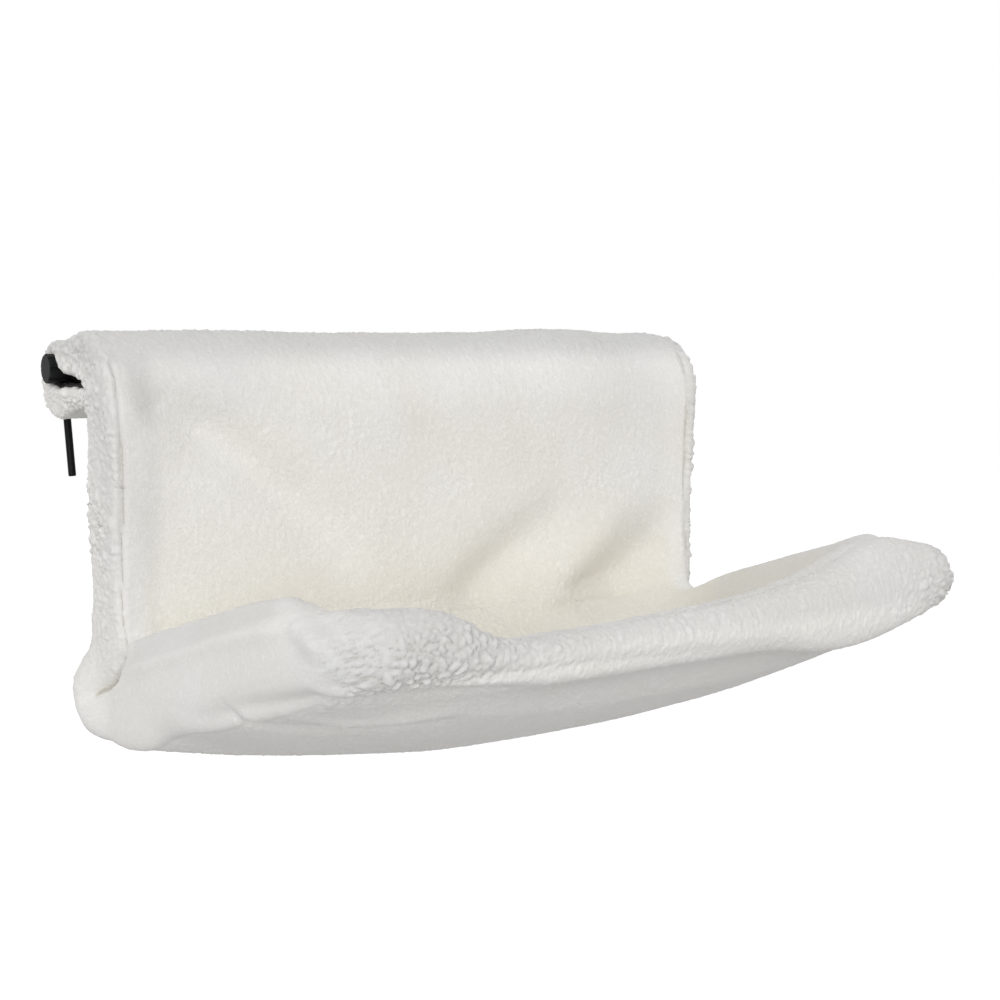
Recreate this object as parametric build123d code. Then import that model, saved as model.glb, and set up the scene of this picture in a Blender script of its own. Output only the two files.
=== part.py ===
"""Hanging cat bed: a black tube frame that rests on a radiator, in a loose fleece cover.

Millimetres. The origin is the centre of the flat underside that lies on the radiator's top.
+X runs along the radiator, +Y goes back to the wall, -Y is where the seat sticks out, +Z is up.
"""
from build123d import *
from math import acos, cos, degrees, radians, sin, tan
import os

# Sizes of the whole bed
WIDTH = 460.0            # outside of the cover
REACH = 80.0             # crossbar axis to backrest axis
DROP = 202.0             # crossbar axis down to the seat corner
SEAT_LENGTH = 274.0      # seat corner to front rail, along the slope
SEAT_TILT = 17.5         # degrees the seat rises to the front
RAIL_DIP = 24.0          # how far the front rail lies below the side tubes

# Steel tube
TUBE_D = 19.0
TUBE_WALL = 1.2
TOP_BEND = 30.0
SEAT_BEND = 35.0
CORNER_BEND = 24.0
DIP_BEND = 50.0          # both bends of the rail's step down beside each corner

# Fleece
FLEECE = 12.2
FIT = 0.3                # between fleece and tube
EDGE_ROUND = 9.0
LOOSE_CORNER = 30.0      # slack cloth at the bottom rear corner
BULGE = 9.0              # how far that slack cloth stands back
SEAM_DROP = 6.0          # seams lie this far below the bends
RIM_TOP = 5.0            # open side of the sleeve, from the crossbar axis, at the top
RIM_FOOT = 48.0          # the same at the underside
FLAP = 4.5               # front roll reaches this far behind the rail

# Slack of the hanging cloth at the middle of the bed
SEAT_CORNER_SAG = 18.0
SEAT_SAG = 20.0
BELLY_SAG = 20.0
BELLY_BOW = 20.0
FOLD = 4.5               # height of the long drape fold on the backrest
HOLLOW = 3.0             # how far the cloth falls in beside the fold
STATION_SHARES = (0.0, 0.22, 0.42, 0.6, 0.76, 0.9)
STEEP = 4                # power of the sag curve across the bed
FOLD_X_SHARES = (-1.0, -0.7, -0.4, 0.0, 0.5, 1.0)
FOLD_Z_SHARES = (0.12, 0.42, 0.78, 0.9, 0.82, 0.72)

# Joint between the side tubes and the front tube
STUB_END = 92.0          # along the seat from its corner
PLUG = 38.0
PLUG_GAP = 0.1
SWAGE = 4.0
SCREW_D = 4.0
SCREW_LENGTH = 9.0
SCREW_HEAD_D = 8.0
SCREW_HEAD = 2.6
SCREW_ALONG = 72.0
SOCKET_DEPTH = 1.2
SOCKET_D = 3.4

# Hook rods and their clamps
ROD_D = 5.0
ROD_IN = 18.0            # from a side tube's axis in to the rod's
ROD_FRONT = 52.0         # free end in front of the crossbar axis
ROD_TURN = 25.5          # where it turns outward, behind the crossbar axis
ROD_BACK = 41.0          # leg behind the crossbar axis
LEG_OUT = 14.5           # leg outward of the hole in the crossbar
ROD_DOWN = 72.0
ROD_LEAN = 10.0          # degrees the leg leans in to the radiator
ROD_BEND = 8.0
ROD_CHAMFER = 0.5
ROD_HOLE_GAP = 0.2
ROD_BORE_GAP = 0.05
ROD_SLIT_GAP = 1.0
COLLAR_D = 10.0
COLLAR = 4.0
BLOCK = 26.0
BLOCK_GAP = 0.05
CLAMP_D = 6.0
CLAMP_GAP = 0.05
TIP_GAP = 0.2
KNOB = 12.0
KNOB_GAP = 0.4
KNOB_SINK = 9.0          # how deep the screw goes into its knob
KNOB_RIBS = 8
KNOB_GROOVE = 1.1
KNOB_CHAMFER = 0.8
KNOB_INSET = 0.5         # knob end, inside the cover's width

# Closure tapes inside the rear seam
TAPE = 1.3
TAPE_WIDTH = 30.0
TAPE_SHARE = 0.8         # of the width between the side tubes

OVERRUN = 20.0           # how far cutting bodies reach past

# Worked out
TUBE_R = TUBE_D / 2
BORE_R = TUBE_R - TUBE_WALL
INNER = TUBE_R + FIT
OUTER = INNER + FLEECE
HALF = WIDTH / 2
TUBE_X = HALF - OUTER
ROD_X = TUBE_X - ROD_IN
EDGE_X = HALF - FLEECE
BAR_Y = (REACH - TOP_BEND) / 2
BAR_Z = OUTER
BACK_Y = BAR_Y - REACH
SEAT_Z = BAR_Z - DROP
TILT = radians(SEAT_TILT)
TURN = TILT + radians(90)
CORNER_U = SEAT_LENGTH - CORNER_BEND
RAIL_X = TUBE_X - CORNER_BEND
DIP_TURN = acos(1 - RAIL_DIP / (2 * DIP_BEND))
FLAT_X = RAIL_X - 2 * DIP_BEND * sin(DIP_TURN)
FRONT_SEAM_Z = BAR_Z - TOP_BEND - SEAM_DROP
SEAT_SEAM_Z = SEAT_Z + SEAT_BEND * tan(TURN / 2) + SEAM_DROP
BEHIND = INNER + FLAP
SEAT = Pos(0, BACK_Y, SEAT_Z) * Rot(-SEAT_TILT, 0, 0)


def seat_point(along, above):
    """A point over the seat line, as (y, z) of the whole bed."""
    return (BACK_Y - along * cos(TILT) + above * sin(TILT),
            SEAT_Z + along * sin(TILT) + above * cos(TILT))


def at_x(x, points):
    return [(x, y, z) for y, z in points]


def crossing(y, above):
    """Where an upright line meets a line that runs beside the seat line."""
    along = (BACK_Y - y + above * sin(TILT)) / cos(TILT)
    return seat_point(along, above)


def bow(start, end, sagitta):
    """A straight line, or an arc that bows out to the left of its travel."""
    if sagitta == 0:
        return Line(start, end)
    a, b = Vector(*start), Vector(*end)
    run = b - a
    left = Vector(1, 0, 0).cross(run).normalized()
    return ThreePointArc(a, (a + b) * 0.5 + left * sagitta, b)


def round_corner(x, point, before, after, radius):
    """Start, middle and end of the arc that rounds a corner between two unit runs."""
    turn = acos(max(-1, min(1, before[0] * after[0] + before[1] * after[1])))
    reach = radius * tan(turn / 2)
    start = (point[0] - before[0] * reach, point[1] - before[1] * reach)
    end = (point[0] + after[0] * reach, point[1] + after[1] * reach)
    inward = Vector(after[0] - before[0], after[1] - before[1]).normalized()
    depth = radius / cos(turn / 2) - radius
    middle = (point[0] + inward.X * depth, point[1] + inward.Y * depth)
    return at_x(x, (start, middle, end))


def ring(outer, inner):
    return Circle(outer) - Circle(inner)


def both(node, shape):
    """The right-hand piece and its mirrored left-hand twin."""
    return {"right_" + node: shape, "left_" + node: mirror(shape, Plane.YZ)}


def rod_along(axis_dir, radius, length, start):
    return Solid.make_cylinder(radius, length, Plane(start, z_dir=axis_dir))


def bent(profile, route, radii):
    """Runs a round profile along a route of points, with a true bend at each corner."""
    spots = [Vector(*spot) for spot in route]
    runs = [(b - a).normalized() for a, b in zip(spots[:-1], spots[1:])]
    turns = [radians(a.get_angle(b)) for a, b in zip(runs[:-1], runs[1:])]
    trims = [0] + [radius * tan(turn / 2) for radius, turn in zip(radii, turns)] + [0]
    shape = None
    for k, run in enumerate(runs):
        start = spots[k] + run * trims[k]
        end = spots[k + 1] - run * trims[k + 1]
        straight = extrude(Plane(start, z_dir=run) * profile, (end - start).length)
        shape = straight if shape is None else shape + straight
        if k < len(turns):
            axis = run.cross(runs[k + 1]).normalized()
            centre = end + axis.cross(run) * radii[k]
            shape += revolve(Plane(end, z_dir=run) * profile, Axis(centre, axis),
                             revolution_arc=degrees(turns[k]))
    return shape


def front_run(profile):
    """Runs a profile (outward, up) round the front corners and along the dropped rail."""
    side = Plane((TUBE_X, -CORNER_U, 0), x_dir=(1, 0, 0), z_dir=(0, -1, 0)) * profile
    corner = revolve(side, Axis((RAIL_X, -CORNER_U, 0), (0, 0, -1)), revolution_arc=90)
    turned = {"x_dir": (0, -1, 0), "z_dir": (-1, 0, 0)}
    start = Plane((RAIL_X, -SEAT_LENGTH, 0), **turned) * profile
    middle = Plane((FLAT_X, -SEAT_LENGTH, -RAIL_DIP), **turned) * profile
    down = revolve(start, Axis((RAIL_X, 0, -DIP_BEND), (0, -1, 0)),
                   revolution_arc=degrees(DIP_TURN))
    up = revolve(middle, Axis((FLAT_X, 0, DIP_BEND - RAIL_DIP), (0, -1, 0)),
                 revolution_arc=degrees(DIP_TURN))
    half = corner + down + up + extrude(middle, FLAT_X)
    return half + mirror(half, Plane.YZ)


def side_run(profile, start, end):
    """The same profile, straight along the right side of the seat."""
    plane = Plane((TUBE_X, -start, 0), x_dir=(1, 0, 0), z_dir=(0, -1, 0))
    return extrude(plane * profile, end - start)


def rail_height(x):
    """Height of the front rail over the seat line at a place across the bed."""
    x = abs(x)
    if x >= RAIL_X:
        return 0
    if x >= (RAIL_X + FLAT_X) / 2:
        return (DIP_BEND**2 - (RAIL_X - x)**2)**0.5 - DIP_BEND
    if x > FLAT_X:
        return DIP_BEND - RAIL_DIP - (DIP_BEND**2 - (x - FLAT_X)**2)**0.5
    return -RAIL_DIP


# Frame

def side_tube():
    route = [(BAR_Y, BAR_Z), (BACK_Y, BAR_Z), (BACK_Y, SEAT_Z), seat_point(STUB_END, 0)]
    tube = bent(ring(TUBE_R, BORE_R), at_x(TUBE_X, route), [TOP_BEND, SEAT_BEND])
    tube -= rod_along((1, 0, 0), TUBE_R, 2 * OUTER, (TUBE_X - OUTER, BAR_Y, BAR_Z))
    return tube - SEAT * screw_shank()


def crossbar():
    end = HALF - KNOB_INSET - KNOB - KNOB_GAP
    bar = extrude(Plane((-end, BAR_Y, BAR_Z), z_dir=(1, 0, 0)) * ring(TUBE_R, BORE_R), 2 * end)
    for x in (-ROD_X, ROD_X):
        bar -= rod_along((0, 1, 0), ROD_D / 2 + ROD_HOLE_GAP, TUBE_D + 2 * OVERRUN,
                         (x, BAR_Y - TUBE_R - OVERRUN, BAR_Z))
    return bar


def front_tube():
    """The U-shaped tube whose narrowed ends plug into the side tubes."""
    plug_r = BORE_R - PLUG_GAP
    plug_bore = plug_r - TUBE_WALL
    tube = front_run(ring(TUBE_R, BORE_R))
    straight = side_run(ring(TUBE_R, BORE_R), STUB_END + SWAGE, CORNER_U)
    plug = side_run(ring(plug_r, plug_bore), STUB_END - PLUG, STUB_END)
    step = Plane((TUBE_X, -STUB_END, 0), z_dir=(0, -1, 0))
    swage = (Solid.make_cone(plug_r, TUBE_R, SWAGE, step)
             - Solid.make_cone(plug_bore, BORE_R, SWAGE, step))
    side = straight + swage + plug - screw_shank()
    return SEAT * (tube + side + mirror(side, Plane.YZ))


def screw_shank():
    start = (TUBE_X - TUBE_R, -SCREW_ALONG, 0)
    return rod_along((1, 0, 0), SCREW_D / 2, SCREW_LENGTH, start)


def joint_screw():
    face = TUBE_X - TUBE_R
    head = rod_along((-1, 0, 0), SCREW_HEAD_D / 2, SCREW_HEAD, (face, -SCREW_ALONG, 0))
    head = chamfer(head.edges().group_by(Axis.X)[0], SCREW_HEAD / 3)
    hexagon = Plane((face - SCREW_HEAD, -SCREW_ALONG, 0), z_dir=(1, 0, 0))
    head -= extrude(hexagon * RegularPolygon(SOCKET_D / 2, 6), SOCKET_DEPTH)
    return SEAT * (head + screw_shank())


# Hook rods and clamps

def hook_rod():
    lean = tan(radians(ROD_LEAN)) * ROD_DOWN
    leg_x = ROD_X + LEG_OUT
    route = [(ROD_X, BAR_Y - ROD_FRONT, BAR_Z), (ROD_X, BAR_Y + ROD_TURN, BAR_Z),
             (leg_x, BAR_Y + ROD_BACK, BAR_Z),
             (leg_x, BAR_Y + ROD_BACK - lean, BAR_Z - ROD_DOWN)]
    rod = bent(Circle(ROD_D / 2), route, [ROD_BEND, ROD_BEND])
    return chamfer(rod.edges().group_by(Axis.Z)[0], ROD_CHAMFER)


def hook_collar():
    """Pressed on the free end, it keeps the rod from coming out."""
    mouth = Plane((ROD_X, BAR_Y - ROD_FRONT, BAR_Z), z_dir=(0, 1, 0))
    collar = extrude(mouth * ring(COLLAR_D / 2, ROD_D / 2), COLLAR)
    return chamfer(collar.edges().group_by(Axis.Y)[0].sort_by(SortBy.RADIUS)[-1], COLLAR / 6)


def clamp_block():
    start = (ROD_X - BLOCK / 2, BAR_Y, BAR_Z)
    block = rod_along((1, 0, 0), BORE_R - BLOCK_GAP, BLOCK, start)
    block -= rod_along((0, 1, 0), ROD_D / 2 + ROD_BORE_GAP, 2 * TUBE_D,
                       (ROD_X, BAR_Y - TUBE_D, BAR_Z))
    return block - rod_along((1, 0, 0), CLAMP_D / 2 + CLAMP_GAP, BLOCK,
                             (ROD_X, BAR_Y, BAR_Z))


def clamp_screw():
    start = ROD_X + ROD_D / 2 + TIP_GAP
    length = HALF - KNOB_INSET - KNOB + KNOB_SINK - start
    screw = rod_along((1, 0, 0), CLAMP_D / 2, length, (start, BAR_Y, BAR_Z))
    return chamfer(screw.edges().group_by(Axis.X)[0], CLAMP_D / 10)


def clamp_knob():
    start = HALF - KNOB_INSET - KNOB
    knob = rod_along((1, 0, 0), TUBE_R, KNOB, (start, BAR_Y, BAR_Z))
    knob = chamfer(knob.edges().group_by(Axis.X)[-1], KNOB_CHAMFER)
    for k in range(KNOB_RIBS):
        turn = radians(360 * k / KNOB_RIBS)
        groove = (start - OVERRUN, BAR_Y + TUBE_R * cos(turn), BAR_Z + TUBE_R * sin(turn))
        knob -= rod_along((1, 0, 0), KNOB_GROOVE, KNOB + 2 * OVERRUN, groove)
    return knob - rod_along((1, 0, 0), CLAMP_D / 2, KNOB_SINK, (start, BAR_Y, BAR_Z))


# Fleece cover

def plate():
    """Section of the strip that runs round the side: outward, up."""
    strip = Pos((INNER + OUTER) / 2, 0) * Rectangle(FLEECE, 2 * OUTER)
    return fillet(strip.vertices().sort_by(Axis.X)[-2:], EDGE_ROUND)


def roll():
    """The strip with the cloth that turns over and under the tube beside it."""
    flange = Pos((INNER - BEHIND) / 2, 0) * (
        Rectangle(INNER + BEHIND, 2 * OUTER) - Rectangle(INNER + BEHIND, 2 * INNER))
    return plate() + flange


def top_wrap():
    """Over the backrest's top, round the crossbar and back under it."""
    back = BACK_Y + OUTER
    faces = []
    for out in (OUTER, INNER):
        foot = BACK_Y + out
        over = FilletPolyline(*at_x(-EDGE_X, [(BACK_Y - out, FRONT_SEAM_Z),
                                              (BACK_Y - out, BAR_Z + out),
                                              (BAR_Y, BAR_Z + out)]), radius=TOP_BEND + out)
        nose = ThreePointArc(*at_x(-EDGE_X, [(BAR_Y, BAR_Z + out), (BAR_Y + out, BAR_Z),
                                             (BAR_Y, BAR_Z - out)]))
        under = FilletPolyline(*at_x(-EDGE_X, [(BAR_Y, BAR_Z - out), (foot, BAR_Z - out),
                                               (foot, FRONT_SEAM_Z)]), radius=TOP_BEND - out)
        faces.append([over, nose, under])
    ends = [Line(*at_x(-EDGE_X, [(BACK_Y + s * OUTER, FRONT_SEAM_Z),
                                 (BACK_Y + s * INNER, FRONT_SEAM_Z)])) for s in (-1, 1)]
    outline = Curve() + faces[0] + faces[1] + ends
    wrap = extrude(make_face(outline), amount=2 * EDGE_X, dir=(1, 0, 0))
    for x in (-ROD_X, ROD_X):
        wrap -= rod_along((0, 1, 0), ROD_D / 2 + ROD_SLIT_GAP, OUTER + OVERRUN,
                          (x, BAR_Y, BAR_Z))
    return wrap


def fold_height(x):
    """Height of the drape fold at a place across the backrest."""
    share = x / EDGE_X
    spots = list(zip(FOLD_X_SHARES, FOLD_Z_SHARES))
    for (x0, z0), (x1, z1) in zip(spots[:-1], spots[1:]):
        if share <= x1:
            down = z0 + (z1 - z0) * (share - x0) / (x1 - x0)
            return FRONT_SEAM_Z + (SEAT_SEAM_Z - FRONT_SEAM_Z) * down
    return None


def backrest_front():
    """The front cloth, with the long fold that the seat's weight pulls across it."""
    sections = []
    for share in FOLD_X_SHARES:
        x = share * EDGE_X
        slack = 1 - share**STEEP
        middle = fold_height(x)
        lines = []
        for out, way in ((OUTER, 1), (INNER, -1)):
            crest = out + FOLD * slack
            spots = [(x, BACK_Y - out, FRONT_SEAM_Z), (x, BACK_Y - crest, middle),
                     (x, BACK_Y - out, SEAT_SEAM_Z)]
            lines += [bow(spots[0], spots[1], HOLLOW * slack),
                      bow(spots[1], spots[2], HOLLOW * slack)]
        for z in (FRONT_SEAM_Z, SEAT_SEAM_Z):
            lines.append(Line((x, BACK_Y - OUTER, z), (x, BACK_Y - INNER, z)))
        sections.append(make_face(Curve() + lines))
    return loft(sections, ruled=True)


def backrest_rear():
    low = SEAT_SEAM_Z
    panel = Box(2 * EDGE_X, FLEECE, FRONT_SEAM_Z - low)
    return Pos(0, BACK_Y + (INNER + OUTER) / 2, (FRONT_SEAM_Z + low) / 2) * panel


def stations():
    """Places across the bed, with the share of the full sag at each."""
    inner = TUBE_X - BEHIND
    spots = [(share * inner, 1 - share**STEEP) for share in STATION_SHARES]
    right = spots + [(inner, 0), (EDGE_X, 0)]
    left = [(-x, sag) for x, sag in right[:0:-1]]
    return left + right


def seat_plan():
    """Plan of the seat cloth, inside the front roll."""
    back = BACK_Y - SEAT_Z
    inner = TUBE_X - BEHIND
    tip = CORNER_BEND - BEHIND
    wide = Pos(0, (back - CORNER_U) / 2) * Rectangle(2 * EDGE_X, back + CORNER_U)
    front = Pos(0, -(CORNER_U + tip) / 2) * Rectangle(2 * inner, CORNER_U + tip)
    front = fillet(front.vertices().sort_by(Axis.Y)[:2], tip)
    return SEAT * extrude(wide + front, amount=WIDTH, both=True)


def cloth(sides, bulge, corner_sag, sag):
    """Lofts a hanging cloth across the bed from sections with two faces each."""
    sections = []
    for x, slack in stations():
        lines, starts, ends = [], [], []
        for out, radius in sides:
            y = BACK_Y - out
            corner = crossing(y + bulge, out)
            corner = (corner[0], corner[1] - corner_sag * slack)
            front = seat_point(SEAT_LENGTH, out)
            level = rail_height(x)
            front = (front[0] + level * sin(TILT), front[1] + level * cos(TILT))
            top = (y, SEAT_SEAM_Z)
            run = Vector(front[0] - corner[0], front[1] - corner[1]).normalized()
            drop = Vector(corner[0] - top[0], corner[1] - top[1]).normalized()
            start, middle, end = round_corner(x, corner, (drop.X, drop.Y), (run.X, run.Y), radius)
            lines += [Line((x, *top), start), ThreePointArc(start, middle, end),
                      bow(end, (x, *front), sag * slack)]
            starts.append((x, *top))
            ends.append((x, *front))
        lines += [Line(*starts), Line(*ends)]
        sections.append(make_face(Curve() + lines))
    return loft(sections, ruled=True) & seat_plan()


def seat_top():
    """The hammock that the cat lies in."""
    sides = [(OUTER, SEAT_BEND - OUTER), (INNER, SEAT_BEND - INNER)]
    return cloth(sides, 0, SEAT_CORNER_SAG, SEAT_SAG)


def seat_under():
    """The slack belly below it."""
    sides = [(-OUTER, LOOSE_CORNER), (-INNER, LOOSE_CORNER - FLEECE)]
    return cloth(sides, BULGE, BELLY_SAG, BELLY_BOW)


def backrest_gusset():
    """Side strip from the open sleeve down the backrest and round the seat corner."""
    front, rear = BACK_Y - OUTER, BACK_Y + OUTER
    bottom = crossing(rear + BULGE, -OUTER)
    nook = crossing(front, OUTER)
    points = [(BAR_Y - RIM_TOP, BAR_Z + OUTER), (front, BAR_Z + OUTER), nook,
              seat_point(STUB_END, OUTER), seat_point(STUB_END, -OUTER),
              bottom, (rear, SEAT_SEAM_Z), (rear, 0),
              (BAR_Y - RIM_FOOT, 0)]
    outline = make_face(Polyline(*at_x(EDGE_X, points), close=True))
    for spot, radius in ((points[1], TOP_BEND + OUTER), (nook, SEAT_BEND - OUTER),
                         (points[5], LOOSE_CORNER), (points[7], TOP_BEND - OUTER)):
        corner = outline.vertices().sort_by_distance((EDGE_X, *spot))[0]
        outline = fillet(corner, radius)
    strip = extrude(outline, amount=FLEECE, dir=(1, 0, 0))
    edges = strip.faces().sort_by(Axis.X)[-1].edges()
    joint = edges.sort_by_distance((HALF, *seat_point(STUB_END, 0)))[0]
    return fillet([edge for edge in edges if edge != joint], EDGE_ROUND)


def seat_gusset():
    return SEAT * side_run(plate(), STUB_END, CORNER_U)


def tape(layer):
    """One of the two closure tapes pressed together inside the rear seam."""
    width = 2 * (TUBE_X - BEHIND) * TAPE_SHARE
    y = BACK_Y + INNER - TAPE * (layer + 0.5)
    return Pos(0, y, SEAT_SEAM_Z) * Box(width, TAPE, TAPE_WIDTH)


def build():
    nodes = {"top_crossbar": crossbar(), "seat_front_tube": front_tube()}
    nodes.update(both("side_tube", side_tube()))
    nodes.update(both("joint_screw", joint_screw()))
    nodes.update(both("hook_rod", hook_rod()))
    nodes.update(both("hook_collar", hook_collar()))
    nodes.update(both("clamp_block", clamp_block()))
    nodes.update(both("clamp_screw", clamp_screw()))
    nodes.update(both("clamp_knob", clamp_knob()))
    nodes["cover_top_wrap"] = top_wrap()
    nodes["backrest_front_panel"] = backrest_front()
    nodes["backrest_rear_panel"] = backrest_rear()
    nodes["seat_top_panel"] = seat_top()
    nodes["seat_under_panel"] = seat_under()
    nodes["seat_front_roll"] = SEAT * front_run(roll())
    nodes.update(both("backrest_gusset", backrest_gusset()))
    nodes.update(both("seat_gusset", seat_gusset()))
    nodes["closure_loop_tape"] = tape(0)
    nodes["closure_hook_tape"] = tape(1)
    return nodes


os.makedirs("parts", exist_ok=True)
for name, solid in build().items():
    export_step(solid, "parts/" + name + ".step")
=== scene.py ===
"""Dresses the hanging cat bed: curly fleece over the tube frame, seen as in the photograph."""
import bpy
import numpy as np
from math import cos, pi, radians, sin, tan
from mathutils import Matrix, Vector


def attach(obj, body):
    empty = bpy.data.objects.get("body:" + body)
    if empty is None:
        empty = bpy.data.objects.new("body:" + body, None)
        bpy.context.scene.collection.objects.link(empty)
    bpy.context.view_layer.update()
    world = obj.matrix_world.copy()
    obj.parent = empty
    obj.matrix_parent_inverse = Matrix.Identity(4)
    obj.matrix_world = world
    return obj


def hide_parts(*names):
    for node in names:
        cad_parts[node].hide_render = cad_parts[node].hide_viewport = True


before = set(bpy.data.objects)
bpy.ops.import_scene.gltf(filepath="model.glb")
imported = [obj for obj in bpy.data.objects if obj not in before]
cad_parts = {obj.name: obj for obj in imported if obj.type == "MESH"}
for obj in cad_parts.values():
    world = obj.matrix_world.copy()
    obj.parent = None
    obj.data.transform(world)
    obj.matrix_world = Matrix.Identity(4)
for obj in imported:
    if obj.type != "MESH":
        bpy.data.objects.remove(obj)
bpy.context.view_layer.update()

# Camera, fitted to the photograph
FOCAL_PX = 1500.0
IMAGE_PX = 1000.0
SENSOR = 36.0
LOOK_TURN = radians(34.8)
LOOK_DOWN = radians(6.26)
CAMERA_AT = (-0.538, -0.925, 0.043)
NEAREST = 0.01


def make_camera():
    data = bpy.data.cameras.new("photo_camera")
    data.sensor_width = SENSOR
    data.lens = SENSOR * FOCAL_PX / IMAGE_PX
    data.clip_start = NEAREST
    camera = bpy.data.objects.new("photo_camera", data)
    bpy.context.scene.collection.objects.link(camera)
    ahead = Vector((sin(LOOK_TURN) * cos(LOOK_DOWN), cos(LOOK_TURN) * cos(LOOK_DOWN), -sin(LOOK_DOWN)))
    camera.location = CAMERA_AT
    camera.rotation_euler = ahead.to_track_quat("-Z", "Y").to_euler()
    bpy.context.scene.camera = camera


make_camera()


# The cover's shape, in mm, in the CAD's frame
BAR_Y, BAR_Z = 25.0, 22.0
BACK_Y, SEAT_Z = -55.0, -180.0
TILT = radians(17.5)
TOP_BEND, SEAT_BEND = 30.0, 35.0
HALF, LENGTH = 225.0, 296.0
MM = 0.001

# Rounded edges, the seat's front corners, half the sleeve's height, its sag and half the pad's height
EDGE_BACK, EDGE = 8.0, 15.0
TIP = 22.0
NOSE, NOSE_DROP, FLAT = 24.5, 7.5, 22.0


def smooth(value, start, end):
    """0 before start, 1 after end, with an easy step between them."""
    share = np.clip((value - start) / (end - start), 0.0, 1.0)
    return share * share * (3.0 - 2.0 * share)


def hump(value, centre, width):
    """A bell of height one."""
    return np.exp(-((value - centre) / width) ** 2)


def table(value, pairs):
    """A smooth line through (place, height) pairs."""
    places, heights = np.array(pairs, float).T
    slopes = np.gradient(heights, places)
    k = np.clip(np.searchsorted(places, value) - 1, 0, len(places) - 2)
    span = places[k + 1] - places[k]
    t = np.clip((value - places[k]) / span, 0.0, 1.0)
    return ((1 + 2 * t) * (1 - t) ** 2 * heights[k] + t * (1 - t) ** 2 * span * slopes[k]
            + t * t * (3 - 2 * t) * heights[k + 1] + t * t * (t - 1) * span * slopes[k + 1])


# The middle line from the crossbar forward, down the backrest and out along the seat
RUN_A = BAR_Y - (BACK_Y + TOP_BEND)
ARC_B = TOP_BEND * pi / 2
LOW_TURN = pi / 2 + TILT
SETBACK = SEAT_BEND * tan(LOW_TURN / 2)
RUN_C = BAR_Z - TOP_BEND - (SEAT_Z + SETBACK)
ARC_D = SEAT_BEND * LOW_TURN
AT_B, AT_C = RUN_A, RUN_A + ARC_B
AT_D, AT_E = RUN_A + ARC_B + RUN_C, RUN_A + ARC_B + RUN_C + ARC_D
FRONT = LENGTH - EDGE
S_END = AT_E + FRONT - SETBACK


def middle(s):
    """Point (y, z) and direction of the middle line at length s; before 0 it stays at the crossbar."""
    turn_b = np.clip((s - AT_B) / TOP_BEND, 0.0, pi / 2)
    turn_d = np.clip((s - AT_D) / SEAT_BEND, 0.0, LOW_TURN)
    angle = pi + turn_b - turn_d
    a, c = np.clip(s, 0.0, AT_B), np.clip(s - AT_C, 0.0, RUN_C)
    e = np.maximum(s - AT_E, 0.0)
    y = BAR_Y - a - TOP_BEND * np.sin(turn_b) - SEAT_BEND * (1 - np.cos(turn_d)) - e * cos(TILT)
    z = BAR_Z - TOP_BEND * (1 - np.cos(turn_b)) - c - SEAT_BEND * np.sin(turn_d) + e * sin(TILT)
    return y, z, angle


def seat_u(s):
    """Distance along the seat, from its corner with the backrest."""
    return s - AT_E + SETBACK


def place(x, s, n):
    """A point at length s along the middle line and height n over it."""
    y, z, angle = middle(s)
    return np.stack([x, y + n * np.sin(angle), z - n * np.cos(angle)], -1)


def seat_spot(x, u, n):
    """A spot over the seat line, in the whole bed's frame."""
    return (x, BACK_Y - u * cos(TILT) + n * sin(TILT), SEAT_Z + u * sin(TILT) + n * cos(TILT))


# Heights above and below the middle line, read off the photograph with the fitted camera
LEFT_CREST = [(-260, 22), (-230, 20), (-200, 22.5), (-170, 22), (-120, 22), (-40, 22.5), (10, 29),
              (40, 33), (100, 32.5), (140, 31.5), (180, 30.5), (215, 28), (240, 25.5), (262, 22),
              (300, 16)]
RIGHT_CREST = [(-260, 22), (-200, 22), (-170, 22), (-120, 22), (-40, 22.5), (10, 22), (60, 21),
               (90, 24), (140, 25.5), (200, 26), (240, 25), (255, 18), (265, 12), (300, 9)]
ROLL_TOP = [(-220, 17), (-210, 15.5), (-200, 12.6), (-190, 11.4), (-180, 11), (-165, 10), (-150, 5.5),
            (-135, -4.5), (-120, -10), (-90, -10.6), (-50, -10), (0, -8), (50, -5), (90, 1), (120, 8.5),
            (150, 18), (165, 19.5), (180, 17), (193, 13), (205, 7), (215, 0)]
ROLL_FALL = 3.0
ROLL_FOOT = [(-215, 27), (-180, 29), (-120, 36), (0, 38), (60, 39), (90, 43), (125, 43), (161, 37),
             (181, 32), (202, 25), (215, 19)]
LEFT_FOOT = [(-260, 22), (-180, 23), (-60, 23.5), (-20, 24), (-9, 27), (0, 44), (7, 49), (14, 46),
             (26, 38), (60, 30), (140, 31), (300, 29)]
RIGHT_FOOT = [(-260, 22), (-180, 22), (-60, 23), (-20, 24), (-8, 27), (6, 34), (26, 32), (60, 32),
              (140, 35), (240, 32), (300, 26)]
BELLY = [(-260, 22), (-120, 22), (-60, 24), (-20, 32), (10, 46), (50, 57), (100, 62), (160, 62),
         (210, 57), (250, 49), (300, 38)]
HAMMOCK, HAMMOCK_RISE = -14.0, 6.0
SEAT_RISES = (15.0, 75.0)
SIDE_CREST = 34.0
TOP_MEETS_ROLL = (FRONT - 52.0, FRONT - 14.0)
FOOT_MEETS_ROLL = (FRONT - 45.0, FRONT)
ROLL_FALLS = (FRONT - 9.0, FRONT + 5.0)
TOP_LEAVES_BAR, FOOT_LEAVES_BAR = (0.0, 55.0), (0.0, 40.0)
BELLY_POWER = 2.6
EDGE_GROWS = (0.0, 70.0)

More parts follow.
